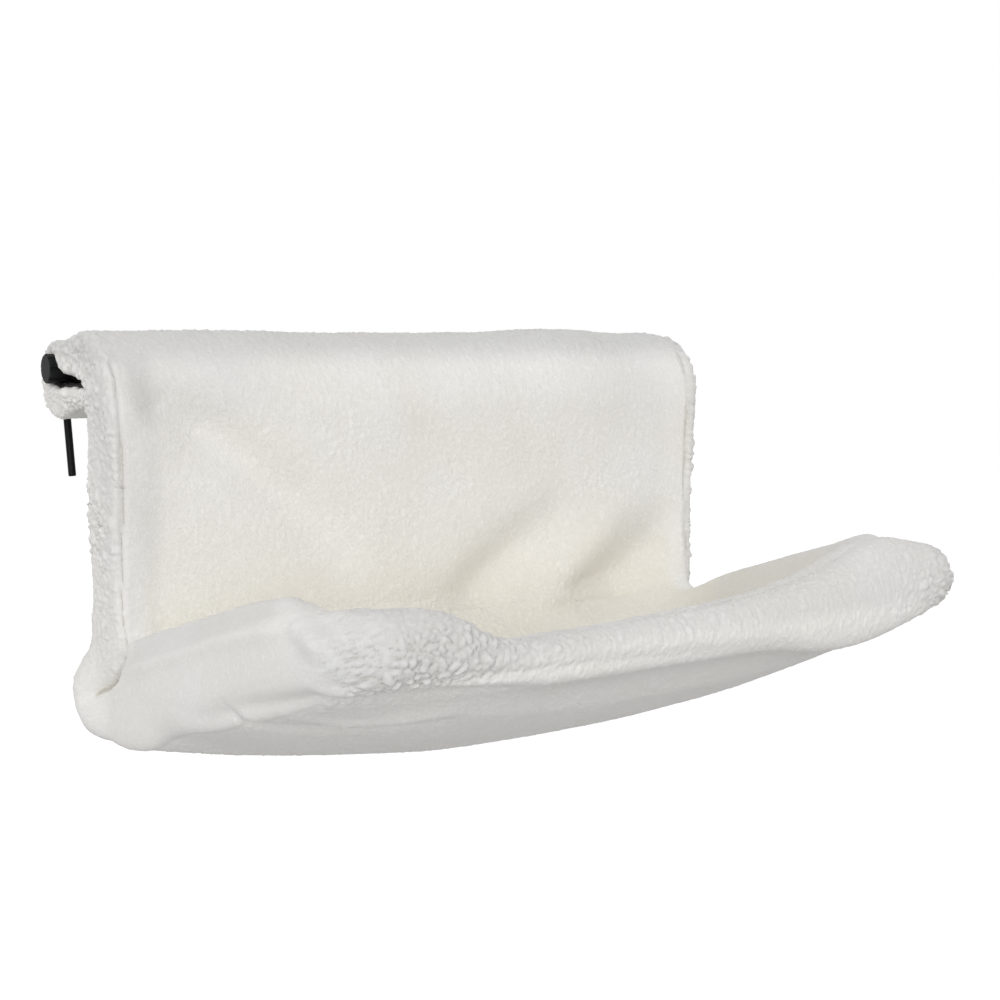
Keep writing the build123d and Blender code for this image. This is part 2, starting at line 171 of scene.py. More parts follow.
# The front tube's corner under the cloth: its bend's place and radius, and how far the cloth clears it
TUBE_BEND_X, TUBE_BEND_U, TUBE_BEND, TUBE_CLEAR = 184.0, 250.0, 24.0, 11.6
TUBE_NEAR_X = (TUBE_BEND_X, TUBE_BEND_X + 8.0)
TUBE_NEAR_U = (TUBE_BEND_U - 25.0, TUBE_BEND_U - 10.0)
LIFT_SOFTNESS = 4.0


def edge_at(s):
    """Width of the rounded edge, small on the backrest and larger on the seat."""
    return EDGE_BACK + (EDGE - EDGE_BACK) * smooth(seat_u(s), *EDGE_GROWS)


def right_share(x):
    """0 at the left side of the bed, 1 at its right side."""
    share = 0.5 + 0.5 * np.clip(x / (HALF - EDGE), -1.0, 1.0)
    return smooth(share, 0.0, 1.0)


def over_tube(x, u, level):
    """The cloth's level, lifted where it lies on the corner of the front tube."""
    along_x = np.maximum(np.abs(x) - TUBE_BEND_X, 0.0)
    along_u = np.maximum(u - TUBE_BEND_U, 0.0)
    away = np.hypot(along_x, along_u) - TUBE_BEND
    lift = np.sqrt(np.maximum(TUBE_CLEAR ** 2 - away ** 2, 0.0)) - level
    near = smooth(np.abs(x), *TUBE_NEAR_X) * smooth(u, *TUBE_NEAR_U)
    return level + near * 0.5 * (lift + np.sqrt(lift ** 2 + LIFT_SOFTNESS))


def top_height(x, s):
    """Height of the cloth over the middle line, at x and length s."""
    u = seat_u(s)
    inner = HALF - edge_at(s)
    share = right_share(x)
    crest = table(u, LEFT_CREST) * (1 - share) + table(u, RIGHT_CREST) * share
    near_side = hump(np.abs(x), inner, SIDE_CREST)
    seat = smooth(u, *SEAT_RISES)
    near_front = smooth(u, *TOP_MEETS_ROLL)
    hollow = crest * (1 - seat) + (HAMMOCK + HAMMOCK_RISE * (np.abs(x) / inner) ** 2) * seat
    level = hollow + (crest - hollow) * near_side
    level += (NOSE - NOSE_DROP - FLAT) * (1 - smooth(s, *TOP_LEAVES_BAR))
    roll = table(x, ROLL_TOP) - ROLL_FALL * smooth(u, *ROLL_FALLS)
    level = level * (1 - near_front) + roll * near_front
    return over_tube(x, u, level)


def foot_height(x, s):
    """Depth of the cloth under the middle line, at x and length s."""
    u = seat_u(s)
    inner = HALF - edge_at(s)
    share = right_share(x)
    edge = table(u, LEFT_FOOT) * (1 - share) + table(u, RIGHT_FOOT) * share
    belly = table(u, BELLY)
    full = 1 - np.clip(np.abs(x) / inner, 0, 1) ** BELLY_POWER
    level = edge + (belly - edge) * full
    level = level + (NOSE + NOSE_DROP - FLAT) * (1 - smooth(s, *FOOT_LEAVES_BAR))
    near_front = smooth(u, *FOOT_MEETS_ROLL)
    return level * (1 - near_front) + table(x, ROLL_FOOT) * near_front


# Folds: a width, then a line of (x, y, z, height) in the whole bed's frame; below 0 is a valley
FACE_Y, REAR_Y = BACK_Y - 23.0, BACK_Y + 23.0
FOLD_REACH = 3
FACE_FOLDS_FADE = (-166.0, -140.0)


def on_back(x, z, height):
    """A fold's point on the backrest's face."""
    return (x, FACE_Y, z, height)


def on_seat(x, u, n, height):
    """A fold's point over the seat line."""
    return (*seat_spot(x, u, n), height)


def heel_tuck(side):
    """The crease that runs round the heel of the seat, on one side of the bed."""
    return [(side * 224, -81, -130, 0), (side * 225, -81, -145, -3), (side * 225, -69, -160, -5.5),
            (side * 225, -56, -169, -5.5), (side * 225, -40, -178, -3)]


# The left seam between side strip and front panel; the right one is its mirror image
SEAM = [(-221, -74, 36), (-219, -76, 14), (-219, -76, -54), (-220, -76, -89), (-222, -78, -115),
        (-224, -81, -130), (-225, -81, -145), (-225, -76, -153), (-225, -69, -160), (-225, -56, -169),
        (-225, -43, -176)]
FOLDS = [
    (18, [on_back(-205, 24, -3), on_back(-188, 4, -9), on_back(-166, -14, -13), on_back(-141, -32, -12),
          on_back(-108, -60, -9), on_back(-74, -92, -4), on_back(-50, -112, 0)]),
    (15, [on_back(-214, 18, 1), on_back(-203, -20, 3), on_back(-206, -60, 2), on_back(-210, -90, 1)]),
    (22, [on_back(-150, 0, 0), on_back(-110, -35, 2), on_back(-60, -80, 1.5)]),
    (20, [on_back(118, -74, 0), on_back(96, -88, -7), on_back(64, -110, -12), on_back(34, -131, -13),
          on_back(6, -150, -6), on_back(-20, -162, -2)]),
    (22, [on_back(212, -82, -1), on_back(190, -114, -10), on_back(160, -136, -15),
          on_back(128, -152, -13), on_back(100, -168, -3)]),
    (15, [on_back(175, -66, 0), on_back(142, -100, 4), on_back(104, -134, 5), on_back(78, -152, 3)]),
    (26, [on_back(-8, -26, -2), on_back(12, -45, -2)]),
    (40, [(118, -60, 42, 6), (136, -60, 42, 6)]),
    (20, [(226, -66, 40, 8), (228, -68, 10, 9), (226, -68, -60, 5), (226, -67, -120, 6),
          (226, -67, -150, 6)]),
    (30, [(-190, -50, 44, 2), (-120, -50, 44, 2)]),
    (5, [on_seat(-225, 30, 14, 0), on_seat(-225, 60, 15.5, 2.4), on_seat(-225, 168, 15.5, 2.4),
         on_seat(-224, 262, 9, 2.4)]),
    (7, [on_seat(-221, 50, 24, 0), on_seat(-221, 110, 25, -2.2), on_seat(-221, 200, 22, -2.2),
         on_seat(-222, 250, 17, 0)]),
    (9, [on_seat(-213, 250, 19, -2), on_seat(-214, 278, 10, -5), on_seat(-210, 289, -3, -6),
         on_seat(-199, 294, -8, -4), on_seat(-186, 296, -13, 0)]),
    (7, [on_seat(-214, 250, 20, 1), on_seat(-220, 264, 12, 3), on_seat(-223, 276, 0, 4),
         on_seat(-224, 282, -8, 1)]),
    (12, [on_seat(228, 266, -20, 0), on_seat(218, 290, -24, -2), on_seat(196, 298, -28, -1)]),
    (6, [on_seat(-224, 284, 20, -2.5), on_seat(-222, 294, 4, -3.5), on_seat(-212, 298, -12, -2)]),
    (8, [on_seat(-228, 280, 0, 3), on_seat(-226, 288, -2, 3)]),
    (6, [on_seat(-215, 279, -22, -1.5), on_seat(-170, 287, -29, -3), on_seat(-135, 293, -30, -3.5),
         on_seat(-75, 295, -31.5, -3), on_seat(-14, 293, -34, -2), on_seat(60, 290, -35, 0)]),
    (7, [on_seat(-222, 150, -20, 0), on_seat(-221, 199, -24, -3.5), on_seat(-217, 259, -28, -4),
         on_seat(-187, 269, -30, -4), on_seat(-152, 275, -33, -3.5), on_seat(-100, 286, -37, 0)]),
    (8, [on_seat(-215, 217, -30, 0), on_seat(-184, 220, -38, 2.5), on_seat(-160, 235, -41, 2.5),
         on_seat(-122, 253, -44, 0)]),
    (8, [on_seat(-222, 100, -19, 0), on_seat(-220, 165, -26, -4), on_seat(-201, 177, -34, -4.5),
         on_seat(-181, 196, -40, -4.5), on_seat(-157, 214, -44, -4), on_seat(-120, 240, -47, 0)]),
    (1.8, [(-224, REAR_Y, -14, -1.6), (224, REAR_Y, -14, -1.6)]),
    (5, heel_tuck(-1)),
    (5, heel_tuck(1)),
    (22, [(-228, -26, -178, 12), (-230, -34, -194, 13), (-226, -56, -204, 4), (-224, -90, -200, 2)]),
    (20, [(226, -26, -184, 4), (226, -56, -194, 3)]),
]


def folds(points):
    """Height of all folds together, over the smooth cloth."""
    total = np.zeros(points.shape[:-1])
    for width, spots in FOLDS:
        line = np.zeros(points.shape[:-1])
        spots = np.array(spots, float)
        low = spots[:, :3].min(axis=0) - FOLD_REACH * width
        high = spots[:, :3].max(axis=0) + FOLD_REACH * width
        near = ((points > low) & (points < high)).all(axis=-1)
        p = points[near]
        best = np.zeros(len(p))
        for start, end in zip(spots[:-1], spots[1:]):
            run = end[:3] - start[:3]
            share = np.clip((p - start[:3]) @ run / (run @ run), 0, 1)
            away = np.linalg.norm(p - start[:3] - share[:, None] * run, axis=-1)
            height = (start[3] + (end[3] - start[3]) * share) * np.exp(-(away / width) ** 2)
            best = np.where(np.abs(height) > np.abs(best), height, best)
        if spots[0, 1] == FACE_Y:
            best = best * smooth(p[:, 2], *FACE_FOLDS_FADE)
        line[near] = best
        total += line
    return total


# The cover's grids: STEP is the size of a face
STEP = 1.1
FEWEST_NOSE, FEWEST_TIP = 6, 8
TINY = 1e-9


def nose_place(x, angle, n):
    """Round the crossbar: angle 0 is on top, a half turn is underneath."""
    return np.stack([x, BAR_Y + n * np.sin(angle), BAR_Z - NOSE_DROP + n * np.cos(angle)], -1)


def grid_faces(rows, cols, flip=False):
    """Corner numbers of a grid's faces, which look the other way if flipped."""
    k = np.arange(rows * cols).reshape(rows, cols)
    quads = np.stack([k[:-1, :-1], k[1:, :-1], k[1:, 1:], k[:-1, 1:]], -1).reshape(-1, 4)
    return quads[:, ::-1] if flip else quads


def vertex_normals(points, quads):
    """Unit normals at the points, from all faces round each."""
    a, b, c, d = (points[quads[:, k]] for k in range(4))
    cross = np.cross(c - a, d - b)
    normals = np.zeros_like(points)
    for k in range(4):
        for axis in range(3):
            normals[:, axis] += np.bincount(quads[:, k], cross[:, axis], len(points))
    return normals / np.maximum(np.linalg.norm(normals, axis=1)[:, None], TINY)


# One vertex pool for the whole cover: rows run along the middle line, columns round it
def row_stations():
    """Nose angles (quarter turn from the rear to the top) and stations along the middle line."""
    nose = np.linspace(pi / 2, 0, max(FEWEST_NOSE, int(NOSE * pi / 2 / STEP)))[:-1]
    flat = np.linspace(0, S_END - TIP, int((S_END - TIP) / STEP))
    tip_angles = np.linspace(0, pi / 2, max(FEWEST_TIP, int(TIP * pi / 2 / STEP)))[1:]
    return nose, np.concatenate([flat, S_END - TIP + TIP * np.sin(tip_angles)])


def build_cover():
    """The front and rear faces of the cover, with the stations of their rows and columns."""
    nose, run = row_stations()
    over = np.clip(run - (S_END - TIP), 0, TIP)
    half_width = HALF - edge_at(run) - TIP + np.sqrt(np.maximum(TIP ** 2 - over ** 2, 0))
    turn = np.arcsin(np.clip(over / TIP, 0, 1))
    across = np.linspace(-1, 1, int(2 * (HALF - EDGE_BACK) / STEP))
    s, x = np.meshgrid(run, across, indexing="ij")
    x = x * half_width[:, None]
    angle, nose_x = np.meshgrid(nose, across * (HALF - EDGE_BACK), indexing="ij")
    front = np.concatenate([nose_place(nose_x, angle, NOSE), place(x, s, top_height(x, s))])
    rear = np.concatenate([nose_place(nose_x, pi - angle, NOSE), place(x, s, -foot_height(x, s))])
    return nose, run, turn, across, front, rear


SIDE_TALL, FEWEST_SIDE = 38.0, 10
COLS_SIDE = max(FEWEST_SIDE, int(SIDE_TALL / STEP))
FINE_SIDE = 1200
SQUARE_BACK, SEAT_ROUNDER, FRONT_ROUNDER = 4.0, 1.5, 0.4
FRONT_ROUNDS = (150.0, 260.0)

# The open side beside the crossbar: (station, height) of its upper and lower lip
OPEN_END = 72.0
LIP_TOP = [(-40, 11.5), (0, 11.5), (6, 9.5), (11, 5.5), (18, 2.5), (32, 0.5), (50, -2), (62, -5),
           (72, -8.5), (400, -8.5)]
LIP_FOOT = [(-40, -15.5), (0, -15.5), (36, -15.5), (54, -15), (66, -13), (72, -8.5), (400, -8.5)]
LIP_CLEAR, LIP_LOW = 12.2, 15.2
HEM, HEM_STEPS = 2.6, 7


def edge_power(s):
    """How square the rounded edge is: squarer on the backrest."""
    u = seat_u(s)
    return SQUARE_BACK - SEAT_ROUNDER * smooth(u, *EDGE_GROWS) - FRONT_ROUNDER * smooth(u, *FRONT_ROUNDS)


def outline_point(tau, power):
    """Outward share and height share of the rounded edge at angle tau from its top."""
    up = np.cos(tau)
    return np.abs(np.sin(tau)) ** (2 / power), np.sign(up) * np.abs(up) ** (2 / power)


def even_angles(start, end, power, wide, tall):
    """Angles from start to end in even steps along the rounded edge, one row for each pair."""
    tau = start[:, None] + (end - start)[:, None] * np.linspace(0, 1, FINE_SIDE)
    out, up = outline_point(tau, power)
    steps = np.hypot(np.diff(wide * out, axis=1), np.diff(tall * up, axis=1))
    length = np.concatenate([0 * steps[:, :1], np.cumsum(steps, axis=1)], axis=1)
    goal = np.linspace(0, 1, COLS_SIDE)
    return np.array([np.interp(goal * line[-1], line, angles) for line, angles in zip(length, tau)])


def side_rows(sign, nose, run, turn, start, end):
    """Side of the cover from angle start to end, given per row: the nose's rows, then the run's."""
    n_nose = len(nose)
    edge_x = (HALF - edge_at(run) - TIP + TIP * np.cos(turn))[:, None]
    xb, sb = sign * edge_x, run[:, None] + 0 * edge_x
    top, foot = top_height(xb, sb), foot_height(xb, sb)
    on_nose = even_angles(start[:n_nose], end[:n_nose], SQUARE_BACK, EDGE_BACK, NOSE)
    on_run = even_angles(start[n_nose:], end[n_nose:], edge_power(sb), edge_at(sb), (top + foot) / 2)
    tau = np.concatenate([on_nose, on_run])
    out, up = outline_point(on_run, edge_power(sb))
    n = (top - foot) / 2 + (top + foot) / 2 * up
    y, z, angle = middle(sb)
    wide = edge_at(sb) * out
    step = np.sin(turn)[:, None] * wide
    points = np.stack([xb + sign * np.cos(turn)[:, None] * wide,
                       y + step * np.cos(angle) + n * np.sin(angle),
                       z + step * np.sin(angle) - n * np.cos(angle)], -1)
    return points, tau


def nose_rows(sign, nose, tau, under):
    """The same for the rows round the crossbar, from the top or from underneath."""
    out, up = outline_point(tau[:len(nose)], SQUARE_BACK)
    n = NOSE * np.abs(up)
    angle = (pi - nose if under else nose)[:, None]
    xb = sign * (HALF - EDGE_BACK + EDGE_BACK * out)
    return nose_place(xb, angle + 0 * xb, n)


def lip_angle(table_pairs, run, xb):
    """Angle of the opening's lip on each row of the run."""
    top, foot = top_height(xb, run), foot_height(xb, run)
    up = (table(run, table_pairs) - (top - foot) / 2) / ((top + foot) / 2)
    power = edge_power(run)
    return np.arccos(np.clip(np.sign(up) * np.abs(up) ** (power / 2), -1, 1))


def nose_lip(angle, clear):
    """Angle of the lip on the nose's side, that far from the crossbar's own centre."""
    up = NOSE_DROP * np.cos(angle)
    reach = up + np.sqrt(clear ** 2 - NOSE_DROP ** 2 + up ** 2)
    return np.arccos(np.clip((reach / NOSE) ** (SQUARE_BACK / 2), 0.0, 1.0))


def side_grids(sign, nose, run, turn):
    """Upper and lower half of a side, which meet where the opening for the crossbar ends."""
    edge_x = sign * (HALF - edge_at(run) - TIP + TIP * np.cos(turn))
    a = np.concatenate([nose_lip(nose, LIP_CLEAR), lip_angle(LIP_TOP, run, edge_x)])
    b = np.concatenate([pi - nose_lip(pi - nose, LIP_LOW), lip_angle(LIP_FOOT, run, edge_x)])
    fade = smooth(np.arange(len(nose), dtype=float), 0, len(nose) - 1)
    a[:len(nose)] += (a[len(nose)] - a[len(nose) - 1]) * fade
    b[:len(nose)] += (b[len(nose)] - b[len(nose) - 1]) * fade
    zero = np.zeros(len(a))
    upper, tau = side_rows(sign, nose, run, turn, zero, a)
    upper = np.concatenate([nose_rows(sign, nose, tau, False), upper])
    lower, tau = side_rows(sign, nose, run, turn, b, zero + pi)
    lower = np.concatenate([nose_rows(sign, nose, tau, True), lower])
    return upper, lower


def hem_grid(outer, lip_col, inward, count_rows):
    """A turned edge of the cloth: round the lip, then back inside as a lining."""
    rows = outer[:count_rows]
    normal = np.cross(np.gradient(rows, axis=0), np.gradient(rows, axis=1))
    normal /= np.maximum(np.linalg.norm(normal, axis=-1, keepdims=True), TINY)
    flip = np.sign((normal * inward).sum(-1, keepdims=True))
    normal = -normal * np.where(flip == 0, 1, flip)
    edge, n = rows[:, lip_col], normal[:, lip_col]
    nearby = rows[:, lip_col - 1 if lip_col else 1]
    along = edge - nearby
    along /= np.maximum(np.linalg.norm(along, axis=-1, keepdims=True), TINY)
    phi = np.linspace(0, pi, HEM_STEPS)[None, :, None]
    outward, onward = n[:, None] * HEM, along[:, None] * HEM
    turn = (edge - n * HEM)[:, None] + outward * np.cos(phi) + onward * np.sin(phi)
    order = slice(None, None, -1) if lip_col else slice(None)
    lining = (rows - 2 * HEM * normal)[:, order][:, 1:]
    return np.concatenate([turn, lining], axis=1)


def front_band(across):
    """The front edge, in an upper and a lower half as the sides have."""
    xb = (across * (HALF - EDGE - TIP))[:, None]
    sb = S_END + 0 * xb
    upper, lower = (lip_angle(pairs, sb[:, 0], xb[:, 0]) for pairs in (LIP_TOP, LIP_FOOT))
    top, foot = top_height(xb, sb), foot_height(xb, sb)
    y, z, angle = middle(sb)
    grids = []
    for start, end in ((0 * upper, upper), (lower, 0 * lower + pi)):
        tau = even_angles(start, end, edge_power(sb), edge_at(sb), (top + foot) / 2)
        out, up = outline_point(tau, edge_power(sb))
        n = (top - foot) / 2 + (top + foot) / 2 * up
        step = EDGE * out
        grids.append(np.stack([xb + 0 * n, y + step * np.cos(angle) + n * np.sin(angle),
                               z + step * np.sin(angle) - n * np.cos(angle)], -1))
    return grids


def tidy_faces(quads):
    """True quads, and triangles where welding has closed an edge; faces with no area are dropped."""
    same = quads == np.roll(quads, -1, axis=1)
    crossed = (quads[:, 0] == quads[:, 2]) | (quads[:, 1] == quads[:, 3])
    full = quads[~same.any(axis=1) & ~crossed]
    folded = (same.sum(axis=1) == 1) & ~crossed
    triangles = quads[folded][~same[folded]].reshape(-1, 3)
    return full, triangles


def cover_pool():
    """All grids of the cover and their faces, in one pool of points, with the stations of the rows."""
    nose, run, turn, across, front, rear = build_cover()
    parts = {"front": front, "rear": rear}
    flips = {"front": False, "rear": True}
    open_rows = len(nose) + int(np.searchsorted(run, OPEN_END))
    for sign, side in ((-1, "left"), (1, "right")):
        upper, lower = side_grids(sign, nose, run, turn)
        parts[side + "_upper"], parts[side + "_lower"] = upper, lower
        inward = np.array([-sign, 0.0, 0.0])
        parts[side + "_upper_hem"] = hem_grid(upper, COLS_SIDE - 1, inward, open_rows)
        parts[side + "_lower_hem"] = hem_grid(lower, 0, inward, open_rows)
        flip = sign < 0
        flips[side + "_upper"] = flips[side + "_lower"] = flip
        flips[side + "_upper_hem"], flips[side + "_lower_hem"] = flip, not flip
    parts["lip_upper"], parts["lip_lower"] = front_band(across)
    flips["lip_upper"] = flips["lip_lower"] = True
    quads, points, count = {}, [], 0
    for name, grid in parts.items():
        quads[name] = grid_faces(*grid.shape[:2], flip=flips[name]) + count
        points.append(grid.reshape(-1, 3))
        count += grid.shape[0] * grid.shape[1]
    return parts, quads, np.concatenate(points), len(nose), run


WELD_CELL, WELD_SHIFT = 0.02, 0.00713
WELD_PRIME = 1000003


def weld(points):
    """Numbers each place once, so that neighbouring grids share their edge."""
    key = np.round((points + WELD_SHIFT) / WELD_CELL).astype(np.int64)
    flat = (key[:, 0] * WELD_PRIME + key[:, 1]) * WELD_PRIME + key[:, 2]
    _, first, back = np.unique(flat, return_index=True, return_inverse=True)
    return first, back


# Noise: scattered points for the curls, plane waves for slow change
SEED = 11
SPOTS, WAVE_COUNT = 4096, 24
rng = np.random.default_rng(SEED)
SCATTER = rng.random((SPOTS, 4))
WAVE_DIRS = rng.normal(size=(WAVE_COUNT, 3))
WAVE_DIRS /= np.linalg.norm(WAVE_DIRS, axis=1)[:, None]
WAVE_PHASES = rng.random((WAVE_COUNT, 3))[:, 0] * 2 * pi
SUMMED_WAVES = 8
SHORTEST, LONGER_EACH = 0.7, 0.08
FAR = 9.0
X_PRIME, Y_PRIME, Z_PRIME = 73856093, 19349663, 83492791
VALLEY_SHARE = 0.5
TUFT_LEAST = 0.45
CURL_BEND, WARP_PITCH, WARP_FIRSTS = 0.3, 4.5, (0, 5, 11)


def waves(p, pitch, first):
    """Smooth noise of about one in size, with that pitch in mm."""
    total = np.zeros(p.shape[:-1])
    for k in range(SUMMED_WAVES):
        length = pitch * (SHORTEST + LONGER_EACH * k)
        total += np.sin(p @ WAVE_DIRS[first + k] * (2 * pi / length) + WAVE_PHASES[first + k])
    return total / np.sqrt(SUMMED_WAVES / 2)


def cells(p, pitch):
    """Distance to the nearest and the next scattered point, in pitches, and the nearest's own number."""
    q = p / pitch
    base = np.floor(q).astype(np.int64)
    near = np.full(q.shape[:-1], FAR)
    next_near = np.full(q.shape[:-1], FAR)
    own = np.zeros(q.shape[:-1])
    for i in (-1, 0, 1):
        for j in (-1, 0, 1):
            for k in (-1, 0, 1):
                c = base + np.array([i, j, k])
                key = c[..., 0] * X_PRIME ^ c[..., 1] * Y_PRIME ^ c[..., 2] * Z_PRIME
                spot = SCATTER[key & (SPOTS - 1)]
                away = np.linalg.norm(c + spot[..., :3] - q, axis=-1)
                closer = away < near
                next_near = np.where(closer, near, np.minimum(next_near, away))
                own = np.where(closer, spot[..., 3], own)
                near = np.where(closer, away, near)
    return near, next_near, own


def curls(p, pitch):
    """Rounded tufts with narrow valleys, 0 to 1."""
    warp = np.stack([waves(p, WARP_PITCH * pitch, k) for k in WARP_FIRSTS], -1)
    near, next_near, own = cells(p + CURL_BEND * pitch * warp, pitch)
    edge = np.clip((next_near - near) / VALLEY_SHARE, 0, 1)
    return np.sqrt(edge) * (TUFT_LEAST + (1 - TUFT_LEAST) * own)


def seat_frame(points):
    """Distance along the seat and height over its line."""
    y, z = points[:, 1] - BACK_Y, points[:, 2] - SEAT_Z
    return -y * cos(TILT) + z * sin(TILT), y * sin(TILT) + z * cos(TILT)


LINE_CORE = 0.25
SEAM_DIVISIONS = 8
SEAM_X = -195


def near_line(points, spots, width):
    """1 on a line of spots, fading to 0 at its width."""
    spots = np.array(spots, float)
    close = ((points > spots.min(axis=0) - width) & (points < spots.max(axis=0) + width)).all(axis=-1)
    p = points[close]
    best = np.full(len(p), FAR * width)
    for start, end in zip(spots[:-1], spots[1:]):
        run = end - start
        share = np.clip((p - start) @ run / (run @ run), 0, 1)
        best = np.minimum(best, np.linalg.norm(p - start - share[:, None] * run, axis=-1))
    result = np.zeros(len(points))
    result[close] = 1 - smooth(best, LINE_CORE * width, width)
    return result


def on_surface(spots, points):
    """A line of spots, moved onto the nearest points of the cloth and evened out."""
    spots = np.array(spots, float)
    runs = [np.linspace(a, b, SEAM_DIVISIONS)[:-1] for a, b in zip(spots[:-1], spots[1:])]
    dense = np.concatenate(runs + [spots[-1:]])
    near = points[points[:, 0] < SEAM_X]
    found = np.array([near[np.argmin(((near - spot) ** 2).sum(axis=1))] for spot in dense])
    padded = np.concatenate([found[:1], found[:1], found, found[-1:], found[-1:]])
    return (padded[:-4] + padded[1:-3] + padded[2:-2] + padded[3:-1] + padded[4:]) / 5


# Zones of the pile: where each fades in or out, from its first to its second number. U is the
# distance along the seat, N the height over it, and X, Y and Z are the whole bed's frame.
SEAT_U, SEAT_N = (5, 40), (38, 52)
FRONT_U = (264, 290)
FLAT_SIDE_X, FLAT_SIDE_U, FLAT_SIDE_N = (205, 214), (272, 292), (-44, -32)
UNDER_N = (-40, -24)
ARM_X, ARM_N = (120, 165), (-5, 5)
HEEL_X, HEEL_Y, HEEL_Z = 226, -45, -190
HEEL_WIDE, HEEL_LONG, HEEL_TALL = 22, 34, 24
STRIP_X, STRIP_Y = (214, 222), (-88, -76)
SLEEVE_Z, SLEEVE_Y = (24, 40), (10, 30)
ROLL_FACE_N, ROLL_LOW_N = (-38, -20), (-8, 0)
CALM_FROM_X, CALM_TO_X = (-40, 60), (150, 200)
BIG_LEFT_X, BIG_RIGHT_X = (-150, -90), (140, 190)
BOLD_X = (-185, -130)
TALL_RIGHT_X = (175, 208)
FLAT_BAND_X = (186, 200)

# How coarse the curls are in the zones, from 0 to 1
COARSE_ALL, COARSE_FACE, COARSE_BIG, COARSE_STRIP, COARSE_SLEEVE = 0.12, 0.6, 0.6, 0.8, 0.4
CALM_SHARE, BIG_RIGHT_SHARE = 0.6, 0.5

# How much higher the pile stands in the zones, and how much lower
TALL_FACE, TALL_CALM, TALL_STRIP, TALL_RIGHT, TALL_BOLD = 0.2, 1.6, 0.3, 0.7, 0.5
LOW_SIDE, LOW_UNDER, LOW_ARM, LOW_HEEL, LOW_BACK, LOW_BAND = 0.8, 0.45, 0.55, 0.75, 0.4, 0.5
UNEVEN, UNEVEN_PITCH, UNEVEN_FIRST = 0.18, 60.0, 3
SEAM_WIDE, LOW_SEAM = 5.0, 0.75
STAND_LIMITS = (0.05, 1.8)


def pile_map(points):
    """Where the curls are large, how high they stand, and where the gaps between them get deeper painted
    shade, from 0.
    """
    u, n = seat_frame(points)
    x, y, z = points.T
    seat = smooth(u, *SEAT_U) * (1 - smooth(n, *SEAT_N))
    front = seat * smooth(u, *FRONT_U)
    left = smooth(-x, *FLAT_SIDE_X) * (1 - smooth(u, *FLAT_SIDE_U))
    flat_side = seat * left * smooth(n, *FLAT_SIDE_N)
    under = seat * (1 - smooth(n, *UNDER_N))
    right_arm = seat * smooth(x, *ARM_X) * (1 - front) * smooth(n, *ARM_N)
    heel = np.exp(-((np.abs(x) - HEEL_X) / HEEL_WIDE) ** 2 - ((y - HEEL_Y) / HEEL_LONG) ** 2
                  - ((z - HEEL_Z) / HEEL_TALL) ** 2)
    strip = smooth(np.abs(x), *STRIP_X) * np.maximum(1 - seat, smooth(y, *STRIP_Y)) * (1 - heel)
    sleeve = np.clip(smooth(z, *SLEEVE_Z) + smooth(y, *SLEEVE_Y), 0, 1)
    face = front * smooth(n, *ROLL_FACE_N)
    low_face = 1 - smooth(n, *ROLL_LOW_N)
    calm = smooth(x, *CALM_FROM_X) * (1 - smooth(x, *CALM_TO_X))
    big = face * (1 - smooth(x, *BIG_LEFT_X)) * low_face
    big = big + BIG_RIGHT_SHARE * face * smooth(x, *BIG_RIGHT_X)
    bold = face * (1 - smooth(x, *BOLD_X)) * low_face
    coarse = COARSE_ALL + COARSE_FACE * face * (1 - CALM_SHARE * calm) + COARSE_BIG * big
    coarse = coarse + COARSE_STRIP * strip + COARSE_SLEEVE * sleeve
    back_face = (1 - seat) * (1 - strip) * (1 - sleeve)
    flat_band = back_face * smooth(np.abs(x), *FLAT_BAND_X)
    stand = 1 + TALL_FACE * face * (1 - TALL_CALM * calm) + TALL_STRIP * strip
    stand = stand + TALL_RIGHT * front * smooth(x, *TALL_RIGHT_X) + TALL_BOLD * bold
    lower = (1 - LOW_SIDE * flat_side) * (1 - LOW_UNDER * under) * (1 - LOW_ARM * right_arm)
    stand *= lower * (1 - LOW_HEEL * heel)
    stand *= (1 - LOW_BACK * back_face) * (1 - LOW_BAND * flat_band)
    stand *= 1 + UNEVEN * waves(points, UNEVEN_PITCH, UNEVEN_FIRST)
    left_seam = near_line(points, SEAM, SEAM_WIDE)
    right_seam = near_line(points * np.array([-1.0, 1.0, 1.0]), SEAM, SEAM_WIDE)
    stand *= 1 - LOW_SEAM * np.maximum(left_seam, right_seam)
    return np.clip(coarse, 0, 1), np.clip(stand, *STAND_LIMITS), bold


# Curls: their pitch, and how tall they are where the pile is smooth and where it is coarse
NAP = np.array([1.0, 1.0, 0.7])
SMALL_PITCH, FINE_PITCH, LARGE_PITCH = 3.1, 1.7, 4.6
FINE_SHIFT, LARGE_SHIFT = 50.0, 90.0
SMALL_TALL, FINE_TALL, LARGE_TALL, SMALL_ON_LARGE = 1.1, 0.4, 2.0, 0.5
# Painted shade in the gaps between tufts: the lightest the deepest gap gets, and how much darker gaps
# get where curls are coarse and where they are bold
LEAST_LIT, COARSE_GAPS, BOLD_GAPS = 0.42, 0.12, 0.26

# The seam's groove and its shade, and the deeper shade in the tuck at its lower end
GROOVE_WIDE, GROOVE_DEPTH = 2.6, 2.0
SEAM_SHADE_WIDE, SEAM_SHADE = 1.5, 0.8
TUCK_SHADE_WIDE, TUCK_SHADE, TUCK_SPOTS = 3.6, 0.75, 26


